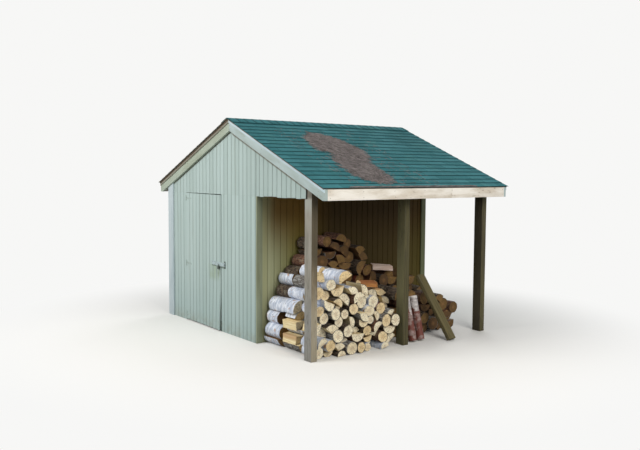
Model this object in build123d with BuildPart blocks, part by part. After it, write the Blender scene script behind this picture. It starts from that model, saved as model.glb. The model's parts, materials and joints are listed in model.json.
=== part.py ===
"""Open-sided log store: a gabled shed with one door, and a firewood bay under the same roof."""

from build123d import *
import math
import os
import random

os.makedirs("parts", exist_ok=True)

# Plan: X runs across the gable from the ridge, Y along the ridge from the middle, Z up from the ground
frame_length = 3048
shed_width = 2490
bay_width = 1235
ridge_shift = 21.5
wall_height = 2093

# Timber sizes
stud_width = 38
stud_depth = 89
stud_spacing = 610
plate_depth = 38
siding_thickness = 16
trim_thickness = 19
butt_gap = 1

# Posts and beams
post_width = 140
post_depth = 89
header_depth = 140
header_thickness = 76
post_notch = 51
beam_width = 89
beam_depth = 140
beam_bearing = 45

# Roof
roof_rise = 5
roof_run = 12
rafter_depth = 89
rafter_bays = 6
rafter_seat = 52
ridge_board_thickness = 19
ridge_board_depth = 140
deck_thickness = 12
eave_overhang = 261
fascia_depth = 130
barge_thickness = 38
barge_depth = 140
verge_strip_depth = 38
verge_strip_joint = 1600
shingle_exposure = 127
shingle_butt = 9
shingle_head = 4
shingle_overhang = 15
ridge_cap_width = 150
ridge_cap_thickness = 5

# Walls
lintel_drop = 158
gable_siding_gap = 28
corner_board_width = 165
corner_return_width = 90
partition_trim_width = 89

# Door
door_offset = 555
door_width = 1039
door_gap = 5
door_floor_gap = 15
door_thickness = 16
door_stop = 20
ledge_thickness = 19
ledge_depth = 89
ledge_inset = 10
hinge_edge = 80
middle_hinge_height = 870
hinge_plate_width = 33
hinge_plate_height = 90
hinge_strap_length = 150
hinge_strap_root = 34
hinge_strap_tip = 18
hinge_steel = 3
knuckle_radius = 5
knuckle_clearance = 0.5
knuckle_height = 20
hinge_pin_radius = 2.5
hinge_pin_clearance = 0.25
latch_rise = 80
staple_plate_width = 26
staple_plate_height = 104
staple_inset = 88
staple_radius = 16
staple_wire = 3
hasp_leaf_height = 70
hasp_leaf_length = 105
hasp_length = 255
hasp_width = 60
hasp_end_margin = 20
latch_clearance = 5
ring_radius = 17
ring_wire = 3.5
ring_inset = 45
padlock_width = 45
padlock_height = 36
padlock_thickness = 14
padlock_offset = 8.5
shackle_wire = 6
shackle_rise = 16
shackle_inset = 6

# Firewood
log_gap = 0.4
row_gap = 14
row_end_gap = 10
row_length = 385
outer_row_length = 350
far_row_length = 450
end_shifts = (-12, 9, -4, 14, 3, -8)
large_log = (150, 200)
small_log = (116, 186)
round_log_share = 0.5
half_log_share = 0.25
wedge_angles = (95, 130)
rim_shrink = 0.93
rim_stagger = 7
half_log_swell = 1.2
wedge_swell = 1.35
drop_cell = 12
drop_turns = 4
drop_misses = 8
rows_stop = 90
wall_row_slope = ((0, 300), (240, 760), (440, 1130), (620, 1425))
wall_row_rest = ((-430, 1375), (-140, 1335), (0, 1260), (rows_stop, 1170))
middle_row_slope = ((0, 420), (150, 830), (350, 1150), (640, 1060), (860, 860))
middle_row_rest = ((-480, 770), (-360, 745), (30, 690), (rows_stop, 680))
outer_row_slope = ((0, 1090), (117, 1070), (507, 960), (747, 850), (1007, 650))
outer_row_stop_height = 430
far_wall_slope = ((0, 920), (480, 880), (750, 840), (1050, 500), (1230, 200))
far_row_slope = ((0, 720), (500, 600), (900, 560), (1150, 420), (1320, 160))
cross_log_width = 116
cross_log_shoulder = (47, 66)
cross_log_crest = (-16, 90)
middle_cross_log = (1245, -335, 96)
far_cross_log = (975, 115, 560)
birch_length = 590
birch_diameter = 118
birch_tilt = 16
birch_places = (210, 352)
plank_width = 132
plank_thickness = 58
plank_length = 1010
plank_foot_reach = 442
plank_place = 690

# Derived planes and heights
slope = roof_rise / roof_run
plumb = math.sqrt(1 + slope**2)
shed_side = (shed_width + bay_width) / 2 + ridge_shift
post_side = (shed_width + bay_width) / 2 - ridge_shift
partition_side = shed_width - shed_side
eave_reach = shed_side + eave_overhang
ridge_height = wall_height + rafter_depth * plumb + (shed_side - rafter_seat) * slope
lintel_height = wall_height - lintel_drop
frame_end = frame_length / 2
siding_face = frame_end + siding_thickness
verge_face = siding_face + barge_thickness
shed_face = shed_side + siding_thickness
partition_face = partition_side + siding_thickness
deck_end = verge_face + trim_thickness
rafter_end = eave_reach - trim_thickness


def rafter_top(x):
    """Height of the rafters' top edge at a distance from the ridge."""
    return ridge_height - abs(x) * slope


def rafter_underside(x):
    """Height of the rafters' lower edge at a distance from the ridge."""
    return rafter_top(x) - rafter_depth * plumb


def barge_underside(x):
    """Height of the bargeboards' lower edge at a distance from the ridge."""
    return rafter_top(x) - barge_depth * plumb


beam_top = rafter_underside(post_side - rafter_seat)
beam_base = beam_top - beam_depth
partition_top = rafter_underside(partition_side)
fascia_top = rafter_top(eave_reach)
fascia_base = fascia_top - fascia_depth
header_top = lintel_height + header_depth
stud_end = frame_end - stud_depth - butt_gap
post_inner = post_side - post_width
beam_inner = post_side - beam_width
gable_siding_reach = beam_inner - gable_siding_gap
door_hinge_side = door_offset - shed_side
door_opening_left = door_hinge_side - door_gap
door_latch_side = door_hinge_side + door_width
door_opening_right = door_latch_side + door_gap
door_front = siding_face + door_gap
door_back = door_front - door_thickness
jamb_left = door_opening_left + door_stop
jamb_right = door_opening_right - door_stop


def block(x_faces, y_faces, z_faces):
    """Adds a straight piece between three pairs of faces to the part being built."""
    low = (min(x_faces), min(y_faces), min(z_faces))
    size = [max(pair) - min(pair) for pair in (x_faces, y_faces, z_faces)]
    with Locations(low):
        Box(*size, align=(Align.MIN, Align.MIN, Align.MIN))


def gable_plane(y):
    """Upright plane across the building whose extrusions run towards the front."""
    return Plane.XZ.offset(-y)


def keep(part, name):
    """Names a finished piece and writes it."""
    part.label = name
    export_step(part, f"parts/{name}.step")


def ends_of(value):
    """The matching places at the front and at the rear."""
    return (-value, value)


# Siding of the shed walls, split beside and over the doorway
with BuildPart() as front_wall_left:
    block((-shed_face, door_opening_left), (-siding_face, -frame_end), (0, lintel_height))
keep(front_wall_left.part, "front_wall_left")

with BuildPart() as front_wall_right:
    block((door_opening_right, partition_face), (-siding_face, -frame_end), (0, lintel_height))
keep(front_wall_right.part, "front_wall_right")

with BuildPart() as left_wall:
    block((-shed_face, -shed_side), (-frame_end, frame_end), (0, rafter_underside(shed_face)))
keep(left_wall.part, "left_wall")

with BuildPart() as rear_wall:
    block((-shed_face, partition_face), (frame_end, siding_face), (0, lintel_height))
keep(rear_wall.part, "rear_wall")

with BuildPart() as partition_wall:
    block((partition_side, partition_face), (-frame_end, frame_end), (0, lintel_height))
    inside = frame_end - header_thickness - butt_gap
    block((partition_side, partition_face), (-inside, inside), (lintel_height, rafter_underside(partition_face)))
keep(partition_wall.part, "partition_wall")

gable_outline = [
    (-shed_face, lintel_height),
    (gable_siding_reach, lintel_height),
    (gable_siding_reach, rafter_top(gable_siding_reach)),
    (0, ridge_height),
    (-shed_face, rafter_top(shed_face)),
]
for name, y in (("front_gable", -frame_end), ("rear_gable", siding_face)):
    with BuildPart() as gable:
        with BuildSketch(gable_plane(y)):
            Polygon(*gable_outline, align=None)
        extrude(amount=siding_thickness)
    keep(gable.part, name)

# Corner boards of the shed, each with a return on the side wall
with BuildPart() as corner_boards:
    for end in (-1, 1):
        inner_edge = corner_board_width - shed_face - trim_thickness
        outline = [
            (-shed_face - trim_thickness, 0),
            (inner_edge, 0),
            (inner_edge, barge_underside(inner_edge) - butt_gap),
            (-shed_face - trim_thickness, barge_underside(shed_face + trim_thickness) - butt_gap),
        ]
        board_face = max(end * siding_face, end * (siding_face + trim_thickness))
        with BuildSketch(gable_plane(board_face)):
            Polygon(*outline, align=None)
        extrude(amount=trim_thickness)
        block(
            (-shed_face - trim_thickness, -shed_face),
            (end * (siding_face - corner_return_width), end * siding_face),
            (0, barge_underside(shed_face + trim_thickness) - butt_gap),
        )
keep(corner_boards.part, "corner_boards")

with BuildPart() as partition_trim:
    for end in (-1, 1):
        block(
            (partition_face, partition_face + trim_thickness),
            (end * (siding_face - partition_trim_width), end * siding_face),
            (0, lintel_height),
        )
keep(partition_trim.part, "partition_trim")

# Framing of the walls
with BuildPart() as sole_plates:
    for side in (-shed_side, partition_side - stud_depth):
        block((side, side + stud_depth), (-stud_end, stud_end), (0, plate_depth))
    for start, stop in ((-shed_side, jamb_left), (jamb_right, partition_side)):
        block((start, stop), (-frame_end, stud_depth - frame_end), (0, plate_depth))
    block((-shed_side, partition_side), (frame_end - stud_depth, frame_end), (0, plate_depth))
keep(sole_plates.part, "sole_plates")

with BuildPart() as top_plates:
    block(
        (-shed_side, stud_depth - shed_side),
        (-frame_end, frame_end),
        (wall_height - 2 * plate_depth, wall_height),
    )
    block(
        (partition_side - stud_depth, partition_side),
        (header_thickness + butt_gap - frame_end, frame_end - header_thickness - butt_gap),
        (partition_top - plate_depth, partition_top),
    )
keep(top_plates.part, "top_plates")

side_stud_count = round(2 * stud_end / stud_spacing) + 1
side_stud_pitch = (2 * stud_end - stud_width) / (side_stud_count - 1)
header_start = stud_depth + butt_gap - shed_side
middle_stud = (jamb_right + partition_side) / 2
end_stud_places = (header_start, jamb_left - stud_width, jamb_right, middle_stud, partition_side - stud_width)
gable_stud_places = [number * stud_spacing for number in range(-2, 3)]

with BuildPart() as wall_studs:
    for number in range(side_stud_count):
        y = number * side_stud_pitch - stud_end
        block(
            (-shed_side, stud_depth - shed_side),
            (y, y + stud_width),
            (plate_depth, wall_height - 2 * plate_depth),
        )
        block(
            (partition_side - stud_depth, partition_side),
            (y, y + stud_width),
            (plate_depth, partition_top - plate_depth),
        )
    for end in ends_of(frame_end):
        inner = end - math.copysign(stud_depth, end)
        block((-shed_side, stud_width - shed_side), (inner, end), (plate_depth, wall_height - 2 * plate_depth))
        for x in end_stud_places:
            block((x, x + stud_width), (inner, end), (plate_depth, lintel_height))
        inner = end - math.copysign(stud_width, end)
        for x in gable_stud_places:
            reach = abs(x) + stud_width / 2
            top = rafter_underside(reach)
            if x == 0:
                top = ridge_height - ridge_board_thickness / 2 * slope - ridge_board_depth
            block((x - stud_width / 2, x + stud_width / 2), (inner, end), (header_top, top))
keep(wall_studs.part, "wall_studs")

# Headers across the two gables, from the side wall to the notched posts
for name, end in (("front_header", -frame_end), ("rear_header", frame_end)):
    with BuildPart() as header:
        inner = end - math.copysign(header_thickness, end)
        block((header_start, gable_siding_reach), (inner, end), (lintel_height, header_top))
    keep(header.part, name)

# Beam along the open side, carried by the three posts
with BuildPart() as side_beam:
    beam_stop = siding_face - beam_bearing
    block((beam_inner, post_side), (-beam_stop, beam_stop), (beam_base, beam_top))
keep(side_beam.part, "side_beam")

# End posts, notched on the inner side for the header and at the back for the beam
for name, end in (("front_post", -1), ("rear_post", 1)):
    with BuildPart() as end_post:
        block((post_inner, post_side), (end * (siding_face - post_depth), end * siding_face), (0, beam_top))
        with Locations((post_inner, end * (siding_face - post_depth / 2), lintel_height)):
            Box(
                post_notch,
                post_depth,
                beam_top - lintel_height,
                align=(Align.MIN, Align.CENTER, Align.MIN),
                mode=Mode.SUBTRACT,
            )
        shoulder = siding_face - beam_bearing
        with Locations((beam_inner, end * (shoulder - post_depth / 2), beam_base)):
            Box(
                beam_width,
                post_depth,
                beam_depth,
                align=(Align.MIN, Align.CENTER, Align.MIN),
                mode=Mode.SUBTRACT,
            )
    keep(end_post.part, name)

with BuildPart() as middle_post:
    block((post_inner, post_side), (-post_depth / 2, post_depth / 2), (0, beam_base))
keep(middle_post.part, "middle_post")

# Ridge board and rafters, each rafter with a seat cut over its plate or beam
with BuildPart() as ridge_board:
    ridge_board_top = rafter_top(ridge_board_thickness / 2)
    block(
        (-ridge_board_thickness / 2, ridge_board_thickness / 2),
        (-frame_end, frame_end),
        (ridge_board_top - ridge_board_depth, ridge_board_top),
    )
keep(ridge_board.part, "ridge_board")


def rafter_outline(side, bearing_face, bearing_top):
    """Side view of one rafter: plumb cuts at both ends and a level seat over its bearing."""
    near = ridge_board_thickness / 2
    corners = [
        (near, rafter_top(near)),
        (rafter_end, rafter_top(rafter_end)),
        (rafter_end, rafter_underside(rafter_end)),
        (bearing_face, rafter_underside(bearing_face)),
        (bearing_face, bearing_top),
        (bearing_face - rafter_seat, bearing_top),
        (near, rafter_underside(near)),
    ]
    return [(side * x, z) for x, z in corners]


with BuildPart() as rafters:
    rafter_pitch = (frame_length - stud_width) / rafter_bays
    for number in range(rafter_bays + 1):
        with BuildSketch(gable_plane(number * rafter_pitch + stud_width - frame_end)):
            Polygon(*rafter_outline(-1, shed_side, wall_height), align=None)
            Polygon(*rafter_outline(1, post_side, beam_top), align=None)
        extrude(amount=stud_width)
keep(rafters.part, "rafters")

# Roof deck, fascias and bargeboards
for name, side in (("roof_deck_left", -1), ("roof_deck_right", 1)):
    with BuildPart() as deck:
        outline = [
            (0, ridge_height),
            (side * eave_reach, rafter_top(eave_reach)),
            (side * eave_reach, rafter_top(eave_reach) + deck_thickness * plumb),
            (0, ridge_height + deck_thickness * plumb),
        ]
        with BuildSketch(gable_plane(deck_end)):
            Polygon(*outline, align=None)
        extrude(amount=2 * deck_end)
    keep(deck.part, name)

for name, side in (("left_fascia", -1), ("right_fascia", 1)):
    with BuildPart() as fascia:
        block((side * rafter_end, side * eave_reach), (-siding_face, siding_face), (fascia_base, fascia_top))
    keep(fascia.part, name)


def barge_outline(side):
    """Front view of one bargeboard, cut plumb at the eave and level with the fascia's lower edge."""
    level_cut = (ridge_height - barge_depth * plumb - fascia_base) / slope
    corners = [
        (butt_gap / 2, rafter_top(butt_gap / 2)),
        (eave_reach, rafter_top(eave_reach)),
        (eave_reach, fascia_base),
        (level_cut, fascia_base),
        (butt_gap / 2, barge_underside(butt_gap / 2)),
    ]
    return [(side * x, z) for x, z in corners]


def strip_outline(side, start, stop):
    """Front view of one length of the narrow strip along a bargeboard's upper edge."""
    drop = verge_strip_depth * plumb
    corners = [
        (start, rafter_top(start)),
        (stop, rafter_top(stop)),
        (stop, rafter_top(stop) - drop),
        (start, rafter_top(start) - drop),
    ]
    return [(side * x, z) for x, z in corners]


for name, face in (("front_bargeboards", -siding_face), ("rear_bargeboards", verge_face)):
    with BuildPart() as bargeboards:
        with BuildSketch(gable_plane(face)):
            Polygon(*barge_outline(-1), align=None)
            Polygon(*barge_outline(1), align=None)
        extrude(amount=barge_thickness)
    keep(bargeboards.part, name)

strip_lengths = (
    (-1, butt_gap / 2, eave_reach),
    (1, butt_gap / 2, verge_strip_joint),
    (1, verge_strip_joint + butt_gap, eave_reach),
)
for name, face in (("front_verge_strips", -verge_face), ("rear_verge_strips", deck_end)):
    with BuildPart() as verge_strips:
        with BuildSketch(gable_plane(face)):
            for side, start, stop in strip_lengths:
                Polygon(*strip_outline(side, start, stop), align=None)
        extrude(amount=trim_thickness)
    keep(verge_strips.part, name)


def course_outline(side):
    """Section through one slope of shingles: a step at the butt of every course."""
    deck_top = ridge_height + deck_thickness * plumb
    reach = eave_reach + shingle_overhang
    step = shingle_exposure / plumb
    corners = [(reach, deck_top - reach * slope)]
    x = reach
    while x > 0:
        head = max(x - step, 0)
        corners.append((x, deck_top - x * slope + shingle_butt * plumb))
        corners.append((head, deck_top - head * slope + shingle_head * plumb))
        x = head
    corners.append((0, deck_top))
    return [(side * x, z) for x, z in corners]


for name, side in (("shingles_left", -1), ("shingles_right", 1)):
    with BuildPart() as shingles:
        with BuildSketch(gable_plane(deck_end + shingle_overhang)):
            Polygon(*course_outline(side), align=None)
        extrude(amount=2 * (deck_end + shingle_overhang))
    keep(shingles.part, name)

with BuildPart() as ridge_cap:
    cap_base = ridge_height + (deck_thickness + shingle_butt) * plumb + butt_gap
    cap_top = cap_base + ridge_cap_thickness * plumb
    outline = [
        (-ridge_cap_width, cap_base - ridge_cap_width * slope),
        (0, cap_base),
        (ridge_cap_width, cap_base - ridge_cap_width * slope),
        (ridge_cap_width, cap_top - ridge_cap_width * slope),
        (0, cap_top),
        (-ridge_cap_width, cap_top - ridge_cap_width * slope),
    ]
    with BuildSketch(gable_plane(deck_end + shingle_overhang)):
        Polygon(*outline, align=None)
    extrude(amount=2 * (deck_end + shingle_overhang))
keep(ridge_cap.part, "ridge_cap")

# Door: a boarded leaf with ledges behind it, hung on three tee hinges
door_top = lintel_height - door_gap
with BuildPart() as door_leaf:
    block((door_hinge_side, door_latch_side), (-door_front, -door_back), (door_floor_gap, door_top))
keep(door_leaf.part, "door_leaf")

hinge_heights = (door_floor_gap + hinge_edge, middle_hinge_height, door_top - hinge_edge)
with BuildPart() as door_ledges:
    for z in hinge_heights:
        block(
            (jamb_left + ledge_inset, jamb_right - ledge_inset),
            (-door_back, ledge_thickness - door_back),
            (z - ledge_depth / 2, z + ledge_depth / 2),
        )
keep(door_ledges.part, "door_ledges")

hinge_x = door_hinge_side - door_gap / 2
hinge_y = -door_front - knuckle_radius - knuckle_clearance
with BuildPart() as hinge_plates:
    for z in hinge_heights:
        block(
            (door_opening_left - hinge_plate_width, door_opening_left),
            (-siding_face - hinge_steel, -siding_face),
            (z - hinge_plate_height / 2, z + hinge_plate_height / 2),
        )
        for level in (z - knuckle_height, z + knuckle_height):
            with Locations((hinge_x, hinge_y, level)):
                Cylinder(knuckle_radius, knuckle_height - knuckle_clearance)
            block(
                (hinge_x - knuckle_radius, hinge_x - knuckle_radius + hinge_steel),
                (hinge_y, -siding_face - hinge_steel),
                (level - knuckle_height / 2 + knuckle_clearance, level + knuckle_height / 2 - knuckle_clearance),
            )
        with Locations((hinge_x, hinge_y, z)):
            Cylinder(hinge_pin_radius, 3 * knuckle_height - knuckle_clearance)
keep(hinge_plates.part, "hinge_plates")

with BuildPart() as hinge_straps:
    for z in hinge_heights:
        with BuildSketch(gable_plane(-door_front)):
            with Locations((hinge_x + knuckle_radius + hinge_strap_length / 2, z)):
                Trapezoid(
                    hinge_strap_root,
                    hinge_strap_length,
                    90 - math.degrees(math.atan((hinge_strap_root - hinge_strap_tip) / 2 / hinge_strap_length)),
                    rotation=-90,
                )
            with Locations((hinge_x + knuckle_radius, z)):
                Rectangle(2 * knuckle_radius, knuckle_height - 2 * knuckle_clearance)
        extrude(amount=hinge_steel)
        with Locations((hinge_x, hinge_y, z)):
            Cylinder(knuckle_radius, knuckle_height - 2 * knuckle_clearance)
        block(
            (hinge_x, hinge_x + knuckle_radius),
            (hinge_y - hinge_steel / 2, -door_front - knuckle_clearance),
            (z - knuckle_height / 2 + knuckle_clearance, z + knuckle_height / 2 - knuckle_clearance),
        )
        with Locations((hinge_x, hinge_y, z)):
            Cylinder(hinge_pin_radius + hinge_pin_clearance, knuckle_height, mode=Mode.SUBTRACT)
keep(hinge_straps.part, "hinge_straps")

# Latch: staple on the wall, and on the leaf a hasp whose strap reaches over it, with a ring for the padlock
latch_height = middle_hinge_height + latch_rise
staple_x = door_opening_right + staple_inset + staple_plate_width / 2
staple_plate_face = siding_face + hinge_steel


def half_ring(x, y, radius, wire):
    """Ring of flat wire across the door that stands out from an upright face."""
    with BuildSketch(Plane.YZ.offset(x - wire / 2)) as ring:
        with Locations((y, latch_height)):
            Circle(radius)
            Circle(radius - wire, mode=Mode.SUBTRACT)
        with Locations((y + hinge_steel / 2 + radius, latch_height)):
            Rectangle(2 * radius, 2 * radius, mode=Mode.SUBTRACT)
    extrude(ring.sketch, amount=wire)


with BuildPart() as latch_staple:
    block(
        (staple_x - staple_plate_width / 2, staple_x + staple_plate_width / 2),
        (-staple_plate_face, -siding_face),
        (latch_height - staple_plate_height / 2, latch_height + staple_plate_height / 2),
    )
    half_ring(staple_x, -staple_plate_face, staple_radius, staple_wire)
keep(latch_staple.part, "latch_staple")

hasp_start = door_latch_side - hasp_length
hasp_knuckle = hasp_start + hasp_leaf_length
hasp_stop = staple_x + hasp_end_margin
strap_back = staple_plate_face + latch_clearance
strap_face = strap_back + hinge_steel
ring_x = door_latch_side - ring_inset
with BuildPart() as latch_hasp:
    block(
        (hasp_start, hasp_knuckle),
        (-door_front - hinge_steel, -door_front),
        (latch_height - hasp_leaf_height / 2, latch_height + hasp_leaf_height / 2),
    )
    block(
        (hasp_knuckle, hasp_stop),
        (-strap_face, -strap_back),
        (latch_height - hasp_width / 2, latch_height + hasp_width / 2),
    )
    fillet(latch_hasp.edges().filter_by(Axis.Y).group_by(Axis.X)[-1], radius=hasp_width / 4)
    with Locations((hasp_knuckle, -door_front - knuckle_radius, latch_height)):
        Cylinder(knuckle_radius, hasp_width)
    with Locations((staple_x, -strap_face, latch_height)):
        slot_width = staple_wire + 2 * latch_clearance
        slot_height = 2 * (staple_radius + latch_clearance)
        Box(slot_width, 4 * hinge_steel, slot_height, mode=Mode.SUBTRACT)
    half_ring(ring_x, -strap_face, ring_radius, ring_wire)
keep(latch_hasp.part, "latch_hasp")

padlock_y = -strap_face - padlock_offset
shackle_reach = padlock_width / 2 - shackle_inset
shackle_centre = latch_height - shackle_reach
padlock_top = shackle_centre - shackle_rise
with BuildPart() as padlock:
    block(
        (ring_x - padlock_width / 2, ring_x + padlock_width / 2),
        (padlock_y - padlock_thickness / 2, padlock_y + padlock_thickness / 2),
        (padlock_top - padlock_height, padlock_top),
    )
    fillet(padlock.edges().filter_by(Axis.Y), radius=padlock_thickness / 4)
    with BuildSketch(gable_plane(padlock_y + shackle_wire / 2)):
        for reach, mode in ((shackle_reach, Mode.ADD), (shackle_reach - shackle_wire, Mode.SUBTRACT)):
            with Locations((ring_x, shackle_centre)):
                Circle(reach, mode=mode)
            with Locations((ring_x, shackle_centre - shackle_rise / 2)):
                Rectangle(2 * reach, shackle_rise, mode=mode)
    extrude(amount=shackle_wire)
keep(padlock.part, "padlock")


# Firewood: convex log sections dropped one on another under the outline of each row
def log_section(chance, sizes):
    """Section of one log about its centre: round, or split into a half or a wedge."""
    radius = chance.uniform(*sizes) / 2
    kind = chance.random()
    if kind < round_log_share:
        turns = [number * 45 + chance.uniform(-rim_stagger, rim_stagger) for number in range(8)]
        rim = [radius * chance.uniform(rim_shrink, 1) for _ in turns]
        return [(r * math.cos(math.radians(a)), r * math.sin(math.radians(a))) for r, a in zip(rim, turns)]
    spread = 180 if kind < round_log_share + half_log_share else chance.uniform(*wedge_angles)
    radius = radius * (half_log_swell if spread == 180 else wedge_swell)
    turns = [spread * number / 4 for number in range(5)]
    section = [(radius * math.cos(math.radians(a)), radius * math.sin(math.radians(a))) for a in turns]
    if spread < 180:
        section.append((0, 0))
    return section


def turned(section, angle):
    """The section turned about its centre."""
    c = math.cos(math.radians(angle))
    s = math.sin(math.radians(angle))
    return [(y * c - z * s, y * s + z * c) for y, z in section]


def moved(section, y, z):
    """The section moved sideways and up."""
    return [(a + y, b + z) for a, b in section]


def span_at(section, y):
    """Lowest and highest point of a convex section above one place."""
    heights = []
    for (y1, z1), (y2, z2) in zip(section, section[1:] + section[:1]):
        if min(y1, y2) <= y <= max(y1, y2) and y1 != y2:
            heights.append(z1 + (z2 - z1) * (y - y1) / (y2 - y1))
    return min(heights), max(heights)


def resting_lift(section, placed):
    """How far the section rises until it lies on the ground or on the logs below it."""
    lift = -min(z for _, z in section)
    start = min(y for y, _ in section)
    stop = max(y for y, _ in section)
    for other in placed:
        low = max(start, min(y for y, _ in other))
        high = min(stop, max(y for y, _ in other))
        if low >= high:
            continue
        shared = [low, high] + [y for y, _ in section + other if low < y < high]
        lift = max([lift] + [span_at(other, y)[1] - span_at(section, y)[0] + log_gap for y in shared])
    return lift


def height_limit(profile, y):
    """Height of the row's outline above one place, straight between its points."""
    for (y1, z1), (y2, z2) in zip(profile, profile[1:]):
        if y1 <= y <= y2:
            return z1 + (z2 - z1) * (y - y1) / (y2 - y1)
    return 0


def stacked(seed, profile, sizes):
    """Sections of a row of logs, each dropped where it lies lowest under the row's outline."""
    chance = random.Random(seed)
    start = profile[0][0]
    stop = profile[-1][0]
    cell = drop_cell
    surface = [0.0] * (int((stop - start) / cell) + 1)
    placed = []
    misses = 0
    while misses < drop_misses:
        shape = log_section(chance, sizes)
        best = None
        for angle in [chance.uniform(0, 360) for _ in range(drop_turns)]:
            section = turned(shape, angle)
            left = min(y for y, _ in section)
            right = max(y for y, _ in section)
            columns = int((right - left) / cell) + 1
            lows = [span_at(section, min(left + n * cell, right))[0] for n in range(columns)]
            for first in range(len(surface) - columns):
                lift = max(surface[first + n] - lows[n] for n in range(columns))
                y = start + first * cell - left
                top = lift + max(z for _, z in section)
                if top < height_limit(profile, y) and (best is None or top < best[0]):
                    best = (top, y, section)
        if best is None:
            misses += 1
            continue
        section = moved(best[2], best[1], 0)
        section = moved(section, 0, resting_lift(section, placed))
        placed.append(section)
        left = min(y for y, _ in section)
        right = max(y for y, _ in section)
        for n in range(len(surface)):
            y = start + n * cell
            if left <= y <= right:
                surface[n] = max(surface[n], span_at(section, y)[1])
    return placed


def support_line(sections, start, stop):
    """Two points of the logs that a straight log across them rests on, one each side of its middle."""
    middle = (start + stop) / 2
    corners = [corner for section in sections for corner in section if start < corner[0] < stop]
    best = None
    for y1, z1 in corners:
        for y2, z2 in corners:
            if y1 < middle <= y2:
                height = z1 + (z2 - z1) * (middle - y1) / (y2 - y1)
                best = max(best or (height,), (height, y1, z1, y2, z2))
    return best[1:]


def lay_across(sections, x, start, stop):
    """A split log that lies along the bay, on the logs of a row."""
    y1, z1, y2, z2 = support_line(sections, start, stop)
    rise = (z2 - z1) / (y2 - y1)
    foot = Vector(x, start, z1 + rise * (start - y1) + log_gap)
    length = (stop - start) * math.sqrt(1 + rise**2)
    half = cross_log_width / 2
    section = [(-half, 0), (half, 0), cross_log_shoulder, cross_log_crest]
    with BuildSketch(Plane(foot, x_dir=(1, 0, 0), z_dir=(0, -1, -rise))) as end:
        Polygon(*section, align=None)
    extrude(end.sketch, amount=-length)


def keep_row(name, start, length, sections, cross_log=None):
    """Builds one row of logs that lie across the bay, their ends a little uneven, and any log along it on top."""
    with BuildPart() as row:
        for number, shift in enumerate(end_shifts):
            with BuildSketch(Plane.YZ.offset(start + shift)):
                for section in sections[number :: len(end_shifts)]:
                    Polygon(*section, align=None)
            extrude(amount=length)
        if cross_log:
            lay_across(sections, *cross_log)
    keep(row.part, name)


uneven = max(end_shifts) - min(end_shifts)
wall_row_start = partition_face + trim_thickness + row_gap - min(end_shifts)
middle_row_start = wall_row_start + row_length + uneven + butt_gap
outer_row_start = middle_row_start + row_length + uneven + butt_gap
post_clearance = post_depth / 2 + row_gap


def pile_outline(front, slope_points, rest):
    """Outline of a row: points given from its front end, then points given from the middle of the frame."""
    return [(front + y, z) for y, z in slope_points] + list(rest)


pile_front = row_gap + post_depth - siding_face
far_start = rows_stop + row_end_gap
wall_row_outline = pile_outline(pile_front, wall_row_slope, wall_row_rest)
middle_row_outline = pile_outline(pile_front, middle_row_slope, middle_row_rest)
outer_row_outline = pile_outline(pile_front, outer_row_slope, ((-post_clearance, outer_row_stop_height),))
far_wall_outline = pile_outline(far_start, far_wall_slope, ())
far_row_outline = pile_outline(far_start, far_row_slope, ())

wall_row = stacked(11, wall_row_outline, large_log)
middle_row = stacked(23, middle_row_outline, large_log)
outer_row = stacked(37, outer_row_outline, small_log)
far_wall_row = stacked(41, far_wall_outline, large_log)
far_row = stacked(53, far_row_outline, large_log)
keep_row("wood_wall_row", wall_row_start, row_length, wall_row)
keep_row("wood_middle_row", middle_row_start, row_length, middle_row, middle_cross_log)
keep_row("wood_outer_row", outer_row_start, outer_row_length, outer_row)
keep_row("wood_far_wall_row", wall_row_start, row_length, far_wall_row, far_cross_log)
far_row_start = wall_row_start + row_length + uneven + butt_gap
keep_row("wood_far_row", far_row_start, far_row_length, far_row)

# Two birch logs and a split plank that lean on the far rows
far_row_face = far_row_start + far_row_length + max(end_shifts)
with BuildPart() as leaning_birch:
    tilt = math.radians(birch_tilt)
    radius = birch_diameter / 2
    foot = far_row_face + birch_length * math.sin(tilt) + radius * math.cos(tilt)
    for y in birch_places:
        lean = Plane((foot, y, radius * math.sin(tilt))).rotated((0, -birch_tilt, 0))
        with BuildSketch(lean):
            RegularPolygon(radius, 8)
        extrude(amount=birch_length)
keep(leaning_birch.part, "leaning_birch")

with BuildPart() as leaning_plank:
    half_width = plank_width / 2
    under_plank = [
        max(z for _, z in section)
        for section in far_row
        if any(abs(y - plank_place) < half_width for y, _ in section)
    ]
    lean_angle = math.atan(plank_foot_reach / max(under_plank))
    foot = far_row_face + plank_foot_reach + plank_thickness / 2 * math.cos(lean_angle)
    base = plank_thickness / 2 * math.sin(lean_angle)
    lean = Plane((foot, plank_place, base)).rotated((0, -math.degrees(lean_angle), 0))
    with BuildSketch(lean):
        Rectangle(plank_thickness, plank_width)
    extrude(amount=plank_length)
keep(leaning_plank.part, "leaning_plank")
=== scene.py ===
"""Looks of the log store: boards, shingles, firewood, ironwork, finishes, light and camera."""
import json
import random
from math import cos, hypot, pi, radians, sin, sqrt, tau

import bmesh
import bpy
from mathutils import Matrix, Vector
from mathutils.noise import noise, noise_vector, seed_set


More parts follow.
